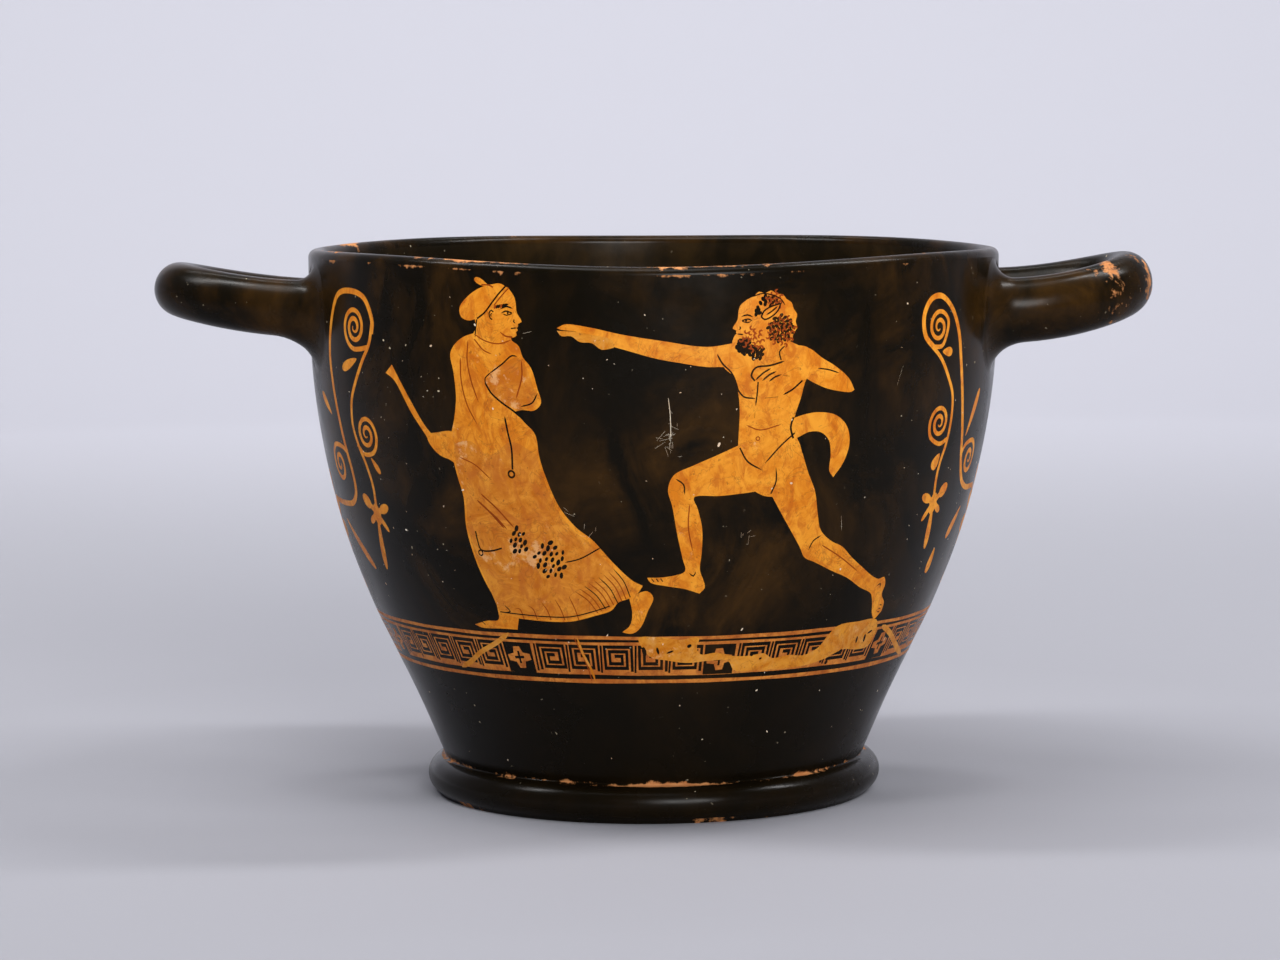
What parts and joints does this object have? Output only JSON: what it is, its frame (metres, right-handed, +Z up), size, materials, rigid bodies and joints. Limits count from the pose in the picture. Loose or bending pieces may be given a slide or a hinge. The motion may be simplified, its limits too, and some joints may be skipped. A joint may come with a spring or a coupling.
{
  "type": "skyphos",
  "caption": "Deep fired-clay drinking cup with a ring foot and loop handles below the rim, in black gloss with clay-coloured figures, florals and a key band.",
  "frame": {"origin": "on the surface that the cup stands on, under the middle of the rim and handles", "axes": "+Z up along the cup's axis, +X towards one handle, -Y towards the painted front"},
  "size_m": [0.3168, 0.2164, 0.1751],
  "materials": {
    "black_gloss_slip": "black gloss slip on orange clay, with figures, florals and a key band left in the clay's colour, fine flecks and wear"
  },
  "bodies": {
    "root": {"skyphos": "black_gloss_slip"}
  },
  "joints": []
}
